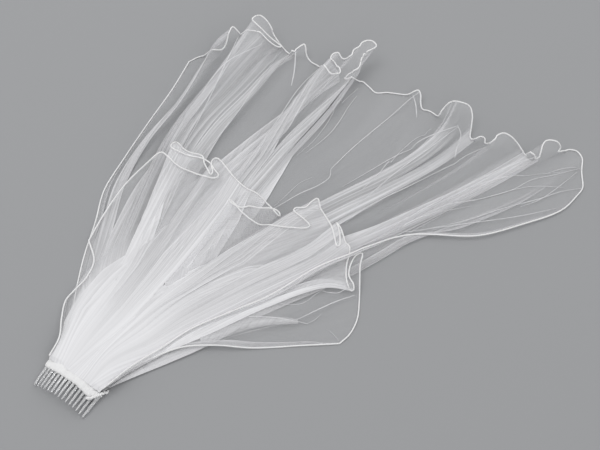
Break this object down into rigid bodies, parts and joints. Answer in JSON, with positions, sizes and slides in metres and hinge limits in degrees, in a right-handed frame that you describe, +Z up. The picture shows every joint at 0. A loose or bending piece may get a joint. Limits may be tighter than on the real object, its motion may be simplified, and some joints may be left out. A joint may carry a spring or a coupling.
{
  "type": "two-tier gathered tulle veil on a comb, laid out flat",
  "caption": "White two-tier bridal veil of tulle with a corded edge, gathered on a curved clear comb and fanned out flat.",
  "frame": {"origin": "middle of the underside of the laid-out veil, on the surface it lies on", "axes": "+X along the comb, +Y from the comb towards the hems, +Z up from the surface"},
  "size_m": [0.564, 0.6838, 0.0331],
  "materials": {
    "clear_plastic": "clear, glossy",
    "gathered_tulle": "dense matt net gathers",
    "long_tulle": "sheer matt net",
    "short_tulle": "sheer matt net"
  },
  "bodies": {
    "root": {"comb": "clear_plastic", "heading": "gathered_tulle", "long_tier": "long_tulle", "short_tier": "short_tulle"}
  },
  "joints": []
}
